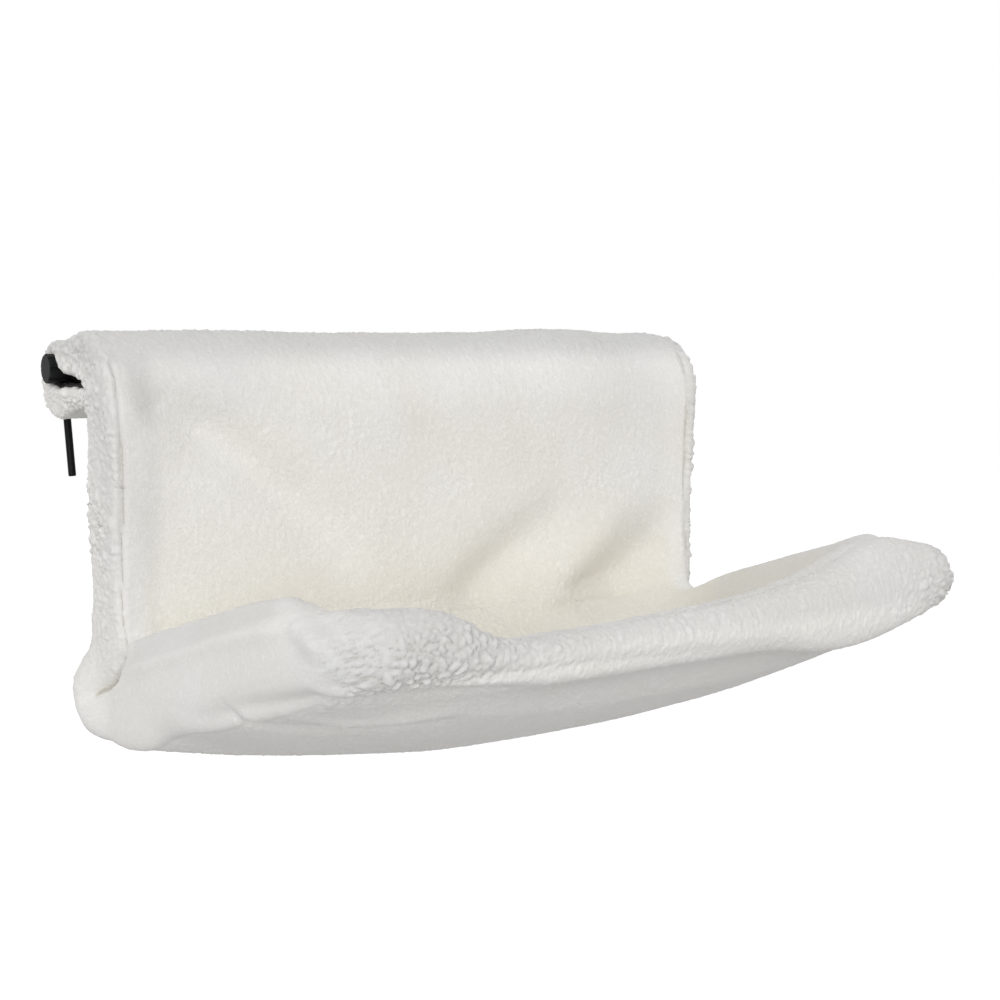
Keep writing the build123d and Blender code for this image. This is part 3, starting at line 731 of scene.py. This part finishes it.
def fleece_height(points, folded_left, seam_line):
    """Height of the pile over the cloth, in mm, and the painted shade at each place: darker deep among
    the tufts, along the seam and in the tuck.
    """
    coarse, stand, bold = pile_map(points)
    napped = points * NAP
    small = curls(napped, SMALL_PITCH)
    fine = curls(napped + FINE_SHIFT, FINE_PITCH)
    large = curls(points + LARGE_SHIFT, LARGE_PITCH)
    fluffy = SMALL_TALL * small + FINE_TALL * fine
    curly = LARGE_TALL * large + SMALL_ON_LARGE * small
    height = (fluffy * (1 - coarse) + curly * coarse) * stand
    tuft_shade = small * (1 - coarse) + large * coarse
    seam_shade_mask = near_line(folded_left, seam_line, SEAM_SHADE_WIDE)
    tuck = near_line(folded_left, seam_line[-TUCK_SPOTS:], TUCK_SHADE_WIDE)
    least = LEAST_LIT - COARSE_GAPS * coarse - BOLD_GAPS * bold
    return height, (least + (1 - least) * tuft_shade) * (1 - SEAM_SHADE * seam_shade_mask) * (1 - TUCK_SHADE * tuck)


# Zones of the painted shade, written as those of the pile
INSIDE_X, INSIDE_U, INSIDE_N = (200, 214), (248, 268), (-25, -10)
HOLLOW_SHADE_Y, HOLLOW_SHADE_BELOW = (-68, -50), (60, 150)
ROLL_U, ROLL_N, ROLL_LEFT_X = (250, 285), (-30, -18), (40, 150)
ARM_U, TOP_Z = (60, 120), (20, 40)
LEFT_ARM_X, LEFT_ARM_U, LEFT_ARM_N = (190, 205), (20, 60), (14, 20)
SHOULDER_X, SHOULDER_END_X, SHOULDER_Z = (90, 150), (205, 215), (-20, 10)
# How strong the painted shade is on the roll, on its left end, on the right arm, on the left arm and on
# the shoulder
SHADE_ROLL, SHADE_ROLL_LEFT, SHADE_ARM, SHADE_LEFT_ARM, SHADE_SHOULDER = 0.66, 0.34, 0.66, 0.6, 0.5


def painted_hollow_shade(points):
    """Painted warm shade and bounce light, low on the backrest and inside the seat's hollow, 0 to 1."""
    u, n = seat_frame(points)
    x, y, z = points.T
    inside = (1 - smooth(np.abs(x), *INSIDE_X)) * (1 - smooth(u, *INSIDE_U)) * smooth(n, *INSIDE_N)
    return inside * (1 - smooth(y, *HOLLOW_SHADE_Y)) * smooth(-z, *HOLLOW_SHADE_BELOW)


def painted_roll_top_shade(points):
    """Painted shade on the front roll, over the top, on the arms' crests and on the left shoulder, 0 to
    1.
    """
    u, n = seat_frame(points)
    x, z = points[:, 0], points[:, 2]
    at_roll, top = smooth(u, *ROLL_U), smooth(z, *TOP_Z)
    roll = at_roll * smooth(n, *ROLL_N) * (SHADE_ROLL + SHADE_ROLL_LEFT * smooth(-x, *ROLL_LEFT_X))
    right_arm = SHADE_ARM * smooth(x, *ARM_X) * smooth(u, *ARM_U) * smooth(n, *ARM_N)
    left_arm = SHADE_LEFT_ARM * smooth(-x, *LEFT_ARM_X) * smooth(u, *LEFT_ARM_U) * smooth(n, *LEFT_ARM_N)
    arms = right_arm * (1 - at_roll) + left_arm * (1 - at_roll)
    shoulder = SHADE_SHOULDER * smooth(-x, *SHOULDER_X) * smooth(z, *SHOULDER_Z)
    shoulder = shoulder * (1 - top) * (1 - smooth(-x, *SHOULDER_END_X))
    return np.clip(roll + arms + top + shoulder, 0, 1)


def make_piece(name, points, quads, normals, layers, material, nodes, body="bed"):
    """One piece of the cover, with its own points, that stands for the CAD nodes."""
    full, triangles = tidy_faces(quads)
    used, back = np.unique(np.concatenate([full.ravel(), triangles.ravel()]), return_inverse=True)
    sizes = np.concatenate([np.full(len(full), 4, np.int32), np.full(len(triangles), 3, np.int32)])
    mesh = bpy.data.meshes.new(name)
    mesh.vertices.add(len(used))
    mesh.vertices.foreach_set("co", (points[used] * MM).astype(np.float32).ravel())
    mesh.loops.add(len(back))
    mesh.loops.foreach_set("vertex_index", back.astype(np.int32).ravel())
    mesh.polygons.add(len(sizes))
    mesh.polygons.foreach_set("loop_start", (np.cumsum(sizes) - sizes).astype(np.int32))
    mesh.polygons.foreach_set("loop_total", sizes)
    mesh.update(calc_edges=True)
    mesh.validate()
    mesh.polygons.foreach_set("use_smooth", np.ones(len(mesh.polygons), bool))
    mesh.normals_split_custom_set_from_vertices(normals[used].tolist())
    for label, values in layers.items():
        layer = mesh.attributes.new(label, "FLOAT", "POINT")
        layer.data.foreach_set("value", values[used].astype(np.float32))
    piece = bpy.data.objects.new(name, mesh)
    bpy.context.scene.collection.objects.link(piece)
    mesh.materials.append(material)
    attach(piece, body)
    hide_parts(*nodes)
    return piece


# Materials
def new_material(name):
    """A material with its nodes, its links and its shader."""
    material = bpy.data.materials.new(name)
    material.use_nodes = True
    tree = material.node_tree
    return material, tree.nodes, tree.links, tree.nodes["Principled BSDF"]


def object_noise(nodes, links, scale, detail, roughness=0.5, stretch=None):
    """Noise in the object's own space, in cells per metre."""
    where = nodes.new("ShaderNodeTexCoord").outputs["Object"]
    if stretch:
        mapping = nodes.new("ShaderNodeMapping")
        mapping.inputs["Scale"].default_value = stretch
        links.new(where, mapping.inputs["Vector"])
        where = mapping.outputs[0]
    noise = nodes.new("ShaderNodeTexNoise")
    noise.inputs["Scale"].default_value = scale
    noise.inputs["Detail"].default_value = detail
    noise.inputs["Roughness"].default_value = roughness
    links.new(where, noise.inputs["Vector"])
    return noise.outputs["Fac"]


def ramp(nodes, links, source, stops):
    """Colours by (position, colour), from the lowest position to the highest."""
    node = nodes.new("ShaderNodeValToRGB")
    node.color_ramp.elements[0].position, node.color_ramp.elements[0].color = stops[0]
    node.color_ramp.elements[1].position, node.color_ramp.elements[1].color = stops[-1]
    for position, color in stops[1:-1]:
        node.color_ramp.elements.new(position).color = color
    links.new(source, node.inputs["Fac"])
    return node.outputs["Color"]


# Places of the colour sockets on a Mix node
MIX_SHARE, MIX_FIRST, MIX_SECOND, MIX_RESULT = 0, 6, 7, 2


def multiply(nodes, links, first, second):
    """One colour times another."""
    node = nodes.new("ShaderNodeMix")
    node.data_type = "RGBA"
    node.blend_type = "MULTIPLY"
    node.inputs[MIX_SHARE].default_value = 1.0
    links.new(first, node.inputs[MIX_FIRST])
    links.new(second, node.inputs[MIX_SECOND])
    return node.outputs[MIX_RESULT]


def bump(nodes, links, skin, source, distance, strength):
    """Relief on the shader, that many metres high."""
    node = nodes.new("ShaderNodeBump")
    node.inputs["Distance"].default_value = distance
    node.inputs["Strength"].default_value = strength
    links.new(source, node.inputs["Height"])
    links.new(node.outputs[0], skin.inputs["Normal"])


def grey(level):
    return (level, level, level, 1)


def attribute(nodes, name):
    """A value that the mesh carries at its points."""
    node = nodes.new("ShaderNodeAttribute")
    node.attribute_name = name
    return node.outputs["Fac"]


def fleece_material():
    """Cream fleece with fine fibres, its colour carrying painted shade: darker and warmer among the
    tufts, warmer low in the seat, greyer on the roll and the top.
    """
    material, nodes, links, skin = new_material("curly_fleece")
    clouds = object_noise(nodes, links, scale=14, detail=3)
    fibres = object_noise(nodes, links, scale=900, detail=4, roughness=0.65, stretch=(1, 1, 0.75))
    white = grey(1.0)
    shades = [
        # painted shade: darker and warmer deep among the tufts, along the seam and in the tuck; the
        # tufts' tips keep the fleece's own cream
        (attribute(nodes, "pile"),
         [(0.0, (0.50, 0.47, 0.41, 1)), (0.3, (0.82, 0.81, 0.78, 1)), (0.9, (0.895, 0.885, 0.865, 1))]),
        (clouds, [(0.35, (0.965, 0.955, 0.935, 1)), (0.65, white)]),
        # painted warm shade and bounce light low in the seat's hollow
        (attribute(nodes, "warm"), [(0.0, white), (1.0, (0.975, 0.955, 0.90, 1))]),
        # painted shade on the front roll, over the top, on the arms' crests and on the left shoulder
        (attribute(nodes, "longer"), [(0.0, white), (1.0, (0.795, 0.80, 0.815, 1))]),
        (fibres, [(0.3, grey(0.93)), (0.6, white)]),
    ]
    colours = [ramp(nodes, links, source, stops) for source, stops in shades]
    mixed = colours[0]
    for colour in colours[1:]:
        mixed = multiply(nodes, links, mixed, colour)
    links.new(mixed, skin.inputs["Base Color"])
    rough = ramp(nodes, links, fibres, [(0.3, grey(0.98)), (0.7, grey(0.86))])
    links.new(rough, skin.inputs["Roughness"])
    skin.inputs["Specular IOR Level"].default_value = 0.2
    skin.inputs["Sheen Weight"].default_value = 0.35
    skin.inputs["Sheen Roughness"].default_value = 0.6
    bump(nodes, links, skin, fibres, distance=0.0009, strength=0.6)
    return material


def hard_finish(name, grain, slow, tones, rough, relief, specular, metallic=0.0):
    """Steel or plastic: slow noise between two tones, and a fine grain in the gloss and the relief."""
    material, nodes, links, skin = new_material(name)
    fine = object_noise(nodes, links, **grain)
    cloudy = object_noise(nodes, links, **slow)
    links.new(ramp(nodes, links, cloudy, tones), skin.inputs["Base Color"])
    links.new(ramp(nodes, links, fine, rough), skin.inputs["Roughness"])
    skin.inputs["Specular IOR Level"].default_value = specular
    skin.inputs["Metallic"].default_value = metallic
    bump(nodes, links, skin, fine, **relief)
    return material


def coated_steel():
    """Black powder coat: fine orange peel, a little dusty."""
    return hard_finish(
        "black_powder_coat", grain={"scale": 1400, "detail": 3}, slow={"scale": 60, "detail": 4},
        tones=[(0.35, (0.004, 0.005, 0.0045, 1)), (0.7, (0.008, 0.009, 0.0085, 1))],
        rough=[(0.3, grey(0.42)), (0.7, grey(0.58))], relief={"distance": 0.00012, "strength": 0.5},
        specular=0.1)


def moulded_plastic():
    """Black moulded plastic with a fine grain."""
    return hard_finish(
        "black_moulded_plastic", grain={"scale": 2600, "detail": 2}, slow={"scale": 120, "detail": 3},
        tones=[(0.35, (0.006, 0.007, 0.0065, 1)), (0.7, (0.012, 0.013, 0.0125, 1))],
        rough=[(0.3, grey(0.5)), (0.7, grey(0.66))], relief={"distance": 0.00008, "strength": 0.6},
        specular=0.14)


def plated_steel():
    """Zinc plate with faint turning marks."""
    return hard_finish(
        "zinc_plate", grain={"scale": 700, "detail": 3, "stretch": (6, 1, 1)},
        slow={"scale": 200, "detail": 3},
        tones=[(0.3, (0.50, 0.51, 0.53, 1)), (0.7, (0.62, 0.63, 0.64, 1))],
        rough=[(0.3, grey(0.26)), (0.7, grey(0.42))], relief={"distance": 0.00004, "strength": 0.5},
        specular=0.5, metallic=1.0)


def hook_tape():
    """White nylon tape with a woven face."""
    material, nodes, links, skin = new_material("nylon_tape")
    weave = nodes.new("ShaderNodeTexVoronoi")
    weave.inputs["Scale"].default_value = 1200
    links.new(nodes.new("ShaderNodeTexCoord").outputs["Object"], weave.inputs["Vector"])
    loops = weave.outputs["Distance"]
    tone = ramp(nodes, links, loops, [(0.1, (0.74, 0.73, 0.70, 1)), (0.6, (0.62, 0.61, 0.58, 1))])
    rough = ramp(nodes, links, loops, [(0.1, grey(0.7)), (0.6, grey(0.9))])
    links.new(tone, skin.inputs["Base Color"])
    links.new(rough, skin.inputs["Roughness"])
    bump(nodes, links, skin, loops, distance=0.0002, strength=0.6)
    return material


# The cover's points: smooth cloth, then its folds and the seam's groove, then the pile
PILE_SINKS = 0.4
parts, quads, pool, n_nose, run = cover_pool()
first, back = weld(pool)
points = pool[first]
quads = {name: back[q] for name, q in quads.items()}
every = np.concatenate(list(quads.values()))
base_normals = vertex_normals(points, every)
seam_line = on_surface(SEAM, points)
folded_left = np.column_stack([-np.abs(points[:, 0]), points[:, 1:]])
groove = GROOVE_DEPTH * near_line(folded_left, seam_line, GROOVE_WIDE)
draped = points + base_normals * (folds(points) - groove)[:, None]
draped_normals = vertex_normals(draped, every)
height, tuft_shade = fleece_height(draped, folded_left, seam_line)
final = draped + draped_normals * (height - PILE_SINKS)[:, None]
# Layers of painted shade carried by the points: among the tufts, low in the seat's hollow, and on the
# roll, the top and the arms
layers = {"pile": tuft_shade, "warm": painted_hollow_shade(draped), "longer": painted_roll_top_shade(draped)}
normals = vertex_normals(final, every)

# Stations where the CAD's panels meet
SEAT_ZERO = AT_E - SETBACK
WRAP_BELOW, PANEL_BELOW = 6.0, 118.3
ROLL_AT, SPLIT_AT, END_AT = 260.0, 92.0, 250.0
WRAP_END, PANEL_END = AT_C + WRAP_BELOW, AT_C + PANEL_BELOW
ROLL_START, SIDE_SPLIT, SIDE_END = ROLL_AT + SEAT_ZERO, SPLIT_AT + SEAT_ZERO, END_AT + SEAT_ZERO


def row_at(station, otherwise):
    """The row of a grid that begins at a station."""
    return otherwise if station is None else n_nose + int(np.searchsorted(run, station))


def strip_of(name, start, end, half):
    """The faces of one grid between two stations, or only their left or right half."""
    rows, cols = parts[name].shape[:2]
    faces = quads[name].reshape(rows - 1, cols - 1, 4)
    chosen = faces[row_at(start, 0):row_at(end, rows - 1)]
    if half == "left":
        chosen = chosen[:, :(cols - 1) // 2]
    if half == "right":
        chosen = chosen[:, (cols - 1) // 2:]
    return chosen.reshape(-1, 4)


# The cover's pieces, each with its grids, the stations that it runs between, which half it is, the
# CAD node that it stands for, and its flat cut: width and length in metres, and how it is held
WIDE, SIDE_WIDE, HEM_WIDE = 2 * (HALF - EDGE_BACK) * MM, 0.080, 0.024
HALF_WIDE, LIP_WIDE = WIDE / 2, WIDE - 2 * TIP * MM
NOSE_LONG = NOSE * pi / 2
TOP_LONG, BACK_LONG = (WRAP_END + NOSE_LONG) * MM, (PANEL_END - WRAP_END) * MM
SEAT_LONG, ROLL_LONG = (ROLL_START - PANEL_END) * MM, (S_END - ROLL_START) * MM
STRIP_LONG, ARM_LONG = (SIDE_SPLIT + NOSE_LONG) * MM, (SIDE_END - SIDE_SPLIT) * MM
CORNER_LONG, HEM_LONG = (S_END + TIP - SIDE_END) * MM, (OPEN_END + NOSE_LONG) * MM
LIP_UPPER_LONG, LIP_LOWER_LONG = 0.015, 0.035
SIDES = ("left", "right")
TOP, ROLL = "cover_top_wrap", "seat_front_roll"
WHOLE, BACK, SEAT = (None, None, None), (WRAP_END, PANEL_END, None), (PANEL_END, ROLL_START)
PANELS = [
    ("top_over", ["front"], (None, WRAP_END, None), TOP, WIDE, TOP_LONG, "hung"),
    ("top_under", ["rear"], (None, WRAP_END, None), TOP, WIDE, TOP_LONG, "hung"),
    ("back_front", ["front"], BACK, "backrest_front_panel", WIDE, BACK_LONG, "hung"),
    ("back_rear", ["rear"], BACK, "backrest_rear_panel", WIDE, BACK_LONG, "hung"),
]
for name, grid, node, held in (("seat_", "front", "seat_top_panel", "stretched"),
                               ("belly_", "rear", "seat_under_panel", "hung")):
    for side in SIDES:
        PANELS.append((name + side, [grid], (*SEAT, side), node, HALF_WIDE, SEAT_LONG, held))
for name, grid in (("roll_over", "front"), ("roll_under", "rear")):
    PANELS.append((name, [grid], (ROLL_START, None, None), ROLL, WIDE, ROLL_LONG, "stretched"))
for side in SIDES:
    grids = [side + "_upper", side + "_lower"]
    gusset, arm = side + "_backrest_gusset", side + "_seat_gusset"
    PANELS += [
        (side + "_strip", grids, (None, SIDE_SPLIT, None), gusset, SIDE_WIDE, STRIP_LONG, "hung"),
        (side + "_arm", grids, (SIDE_SPLIT, SIDE_END, None), arm, SIDE_WIDE, ARM_LONG, "stretched"),
        (side + "_corner", grids, (SIDE_END, None, None), ROLL, SIDE_WIDE, CORNER_LONG, "stretched"),
    ]
for lip, length in (("lip_upper", LIP_UPPER_LONG), ("lip_lower", LIP_LOWER_LONG)):
    PANELS.append((lip, [lip], WHOLE, ROLL, LIP_WIDE, length, "stretched"))
for side in SIDES:
    gusset = side + "_backrest_gusset"
    for hem in (side + "_upper_hem", side + "_lower_hem"):
        PANELS.append((hem, [hem], WHOLE, gusset, HEM_WIDE, HEM_LONG, "hung"))

fleece = fleece_material()
for name, grids, cut, node, width, length, held in PANELS:
    faces = np.concatenate([strip_of(grid, *cut) for grid in grids])
    piece = make_piece("fleece_" + name, final, faces, normals, layers, fleece, [node])

# Materials of the parts that stay as the CAD has them, by the ends of their names
FINISHES = [
    (coated_steel(), ("crossbar", "tube", "hook_rod")),
    (moulded_plastic(), ("knob", "collar", "clamp_block")),
    (plated_steel(), ("screw",)),
    (hook_tape(), ("tape",)),
]
for name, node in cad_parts.items():
    for material, endings in FINISHES:
        if name.endswith(endings):
            for slot in node.material_slots:
                slot.material = material

# Light and ground, in metres
AMBIENT, WHITE = 0.66, 1.0
FLOOR_Z, FLOOR_HALF = -0.9, 8.0
FLOOR_GREY, FLOOR_ROUGH, FLOOR_GLOW = 0.55, 0.9, 0.68
KEY_AT, KEY_AIM = (-1.85, -2.5, 1.0), (0, -0.15, -0.1)
KEY_SIZE, KEY_POWER = (2.0, 2.0), 51


def level_by_ray(nodes, links, kinds, low, high):
    """The high level for rays of these kinds, such as the camera's, and the low one for all others."""
    path = nodes.new("ShaderNodeLightPath")
    seen = path.outputs[kinds[0]]
    for kind in kinds[1:]:
        either = nodes.new("ShaderNodeMath")
        either.operation = "MAXIMUM"
        links.new(seen, either.inputs[0])
        links.new(path.outputs[kind], either.inputs[1])
        seen = either.outputs[0]
    level = nodes.new("ShaderNodeMapRange")
    level.inputs["To Min"].default_value = low
    level.inputs["To Max"].default_value = high
    links.new(seen, level.inputs["Value"])
    return level.outputs[0]


def make_world():
    """White to the camera, and an even pale light on the object."""
    world = bpy.data.worlds.new("studio")
    bpy.context.scene.world = world
    world.use_nodes = True
    nodes, links = world.node_tree.nodes, world.node_tree.links
    background = nodes["Background"]
    background.inputs["Color"].default_value = grey(WHITE)
    kinds = ("Is Camera Ray", "Is Glossy Ray", "Is Transmission Ray")
    links.new(level_by_ray(nodes, links, kinds, AMBIENT, WHITE), background.inputs["Strength"])


def make_floor():
    """Plain pale floor far below the bed: white to the camera, with the bed's soft shadow."""
    mesh = bpy.data.meshes.new("floor")
    corners = [(-1, -1), (1, -1), (1, 1), (-1, 1)]
    mesh.from_pydata([(x * FLOOR_HALF, y * FLOOR_HALF, FLOOR_Z) for x, y in corners], [], [(0, 1, 2, 3)])
    floor = bpy.data.objects.new("floor", mesh)
    bpy.context.scene.collection.objects.link(floor)
    material, nodes, links, skin = new_material("pale_floor")
    skin.inputs["Base Color"].default_value = grey(FLOOR_GREY)
    skin.inputs["Roughness"].default_value = FLOOR_ROUGH
    skin.inputs["Emission Color"].default_value = grey(WHITE)
    glow = level_by_ray(nodes, links, ("Is Camera Ray", "Is Glossy Ray"), 0.0, FLOOR_GLOW)
    links.new(glow, skin.inputs["Emission Strength"])
    mesh.materials.append(material)


def area_light(name, spot, aim, size, power):
    """A soft rectangular lamp that looks at a point."""
    data = bpy.data.lights.new(name, "AREA")
    data.shape = "RECTANGLE"
    data.size, data.size_y = size
    data.energy = power
    lamp = bpy.data.objects.new(name, data)
    bpy.context.scene.collection.objects.link(lamp)
    lamp.location = spot
    lamp.rotation_euler = (Vector(aim) - Vector(spot)).to_track_quat("-Z", "Y").to_euler()


make_world()
make_floor()
bpy.context.scene.view_settings.view_transform = "Standard"
area_light("key", KEY_AT, KEY_AIM, KEY_SIZE, KEY_POWER)
